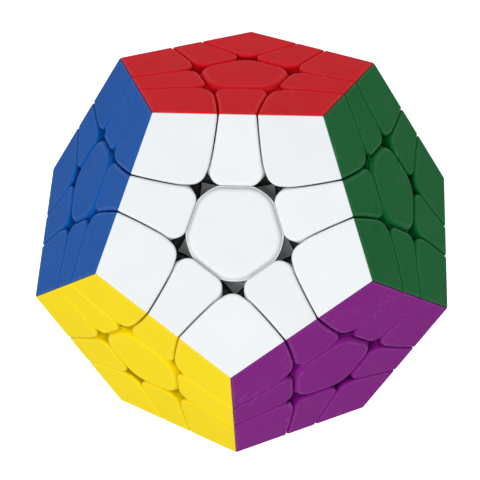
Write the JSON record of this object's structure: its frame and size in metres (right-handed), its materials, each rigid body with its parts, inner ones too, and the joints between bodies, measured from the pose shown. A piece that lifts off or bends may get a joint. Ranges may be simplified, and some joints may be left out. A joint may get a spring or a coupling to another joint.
{
  "type": "dodecahedron twisty puzzle",
  "caption": "Dodecahedral face-turning puzzle with one colour to a face: separate centre, edge and corner pieces on a sprung screw core.",
  "frame": {"origin": "the middle of the core, which is the middle of the solid", "axes": "+Z out of the white face, which shows on top; the grey face is underneath and the part rests on it; +Y runs to the red face's side and -Y to the border between purple and yellow"},
  "size_m": [0.094, 0.0988, 0.08],
  "materials": {
    "white_plastic": "fine frosted outer face, satin sides",
    "red_plastic": "fine frosted outer face, satin sides",
    "green_plastic": "fine frosted outer face, satin sides",
    "purple_plastic": "fine frosted outer face, satin sides",
    "yellow_plastic": "fine frosted outer face, satin sides",
    "blue_plastic": "fine frosted outer face, satin sides",
    "grey_plastic": "fine frosted outer face, satin sides",
    "orange_plastic": "fine frosted outer face, satin sides",
    "lime_plastic": "fine frosted outer face, satin sides",
    "pink_plastic": "fine frosted outer face, satin sides",
    "cream_plastic": "fine frosted outer face, satin sides",
    "sky_plastic": "fine frosted outer face, satin sides",
    "foot_plastic": "smooth, lightly oiled",
    "base_plastic": "each base has the colour of its own face",
    "core_plastic": "smooth",
    "steel": "zinc plated"
  },
  "bodies": {
    "puzzle_body": {"centre_bases": "base_plastic", "core": "core_plastic", "corner_feet": "foot_plastic", "cream_centre_cap": "cream_plastic", "cream_shells": "cream_plastic", "edge_feet": "foot_plastic", "lime_centre_cap": "lime_plastic", "lime_shells": "lime_plastic", "orange_centre_cap": "orange_plastic", "orange_shells": "orange_plastic", "pink_centre_cap": "pink_plastic", "pink_shells": "pink_plastic", "purple_centre_cap": "purple_plastic", "purple_shells": "purple_plastic", "red_centre_cap": "red_plastic", "red_shells": "red_plastic", "screws": "steel", "sky_centre_cap": "sky_plastic", "sky_shells": "sky_plastic", "springs": "steel", "washers": "steel", "white_centre_cap": "white_plastic", "white_shells": "white_plastic", "yellow_centre_cap": "yellow_plastic", "yellow_shells": "yellow_plastic"},
    "blue_layer": {"blue_centre_base": "blue_plastic", "blue_centre_cap": "blue_plastic", "blue_corner_feet": "foot_plastic", "blue_corner_shells": "blue_plastic", "blue_edge_feet": "foot_plastic", "blue_edge_shells": "blue_plastic", "blue_layer_lime_shells": "lime_plastic", "blue_layer_pink_shells": "pink_plastic", "blue_layer_red_shells": "red_plastic", "blue_layer_white_shells": "white_plastic", "blue_layer_yellow_shells": "yellow_plastic"},
    "green_layer": {"green_centre_base": "green_plastic", "green_centre_cap": "green_plastic", "green_corner_feet": "foot_plastic", "green_corner_shells": "green_plastic", "green_edge_feet": "foot_plastic", "green_edge_shells": "green_plastic", "green_layer_cream_shells": "cream_plastic", "green_layer_purple_shells": "purple_plastic", "green_layer_red_shells": "red_plastic", "green_layer_sky_shells": "sky_plastic", "green_layer_white_shells": "white_plastic"},
    "grey_layer": {"grey_centre_base": "grey_plastic", "grey_centre_cap": "grey_plastic", "grey_corner_feet": "foot_plastic", "grey_corner_shells": "grey_plastic", "grey_edge_feet": "foot_plastic", "grey_edge_shells": "grey_plastic", "grey_layer_cream_shells": "cream_plastic", "grey_layer_lime_shells": "lime_plastic", "grey_layer_orange_shells": "orange_plastic", "grey_layer_pink_shells": "pink_plastic", "grey_layer_sky_shells": "sky_plastic"}
  },
  "joints": [
    {"name": "blue_face_turn", "type": "hinge", "parent": "puzzle_body", "child": "blue_layer", "pos_m": [0, 0, 0], "axis": [-0.8507, 0.2764, 0.4472], "continuous": true},
    {"name": "green_face_turn", "type": "hinge", "parent": "puzzle_body", "child": "green_layer", "pos_m": [0, 0, 0], "axis": [0.8507, 0.2764, 0.4472], "continuous": true},
    {"name": "grey_face_turn", "type": "hinge", "parent": "puzzle_body", "child": "grey_layer", "pos_m": [0, 0, 0], "axis": [0, 0, -1], "continuous": true}
  ]
}
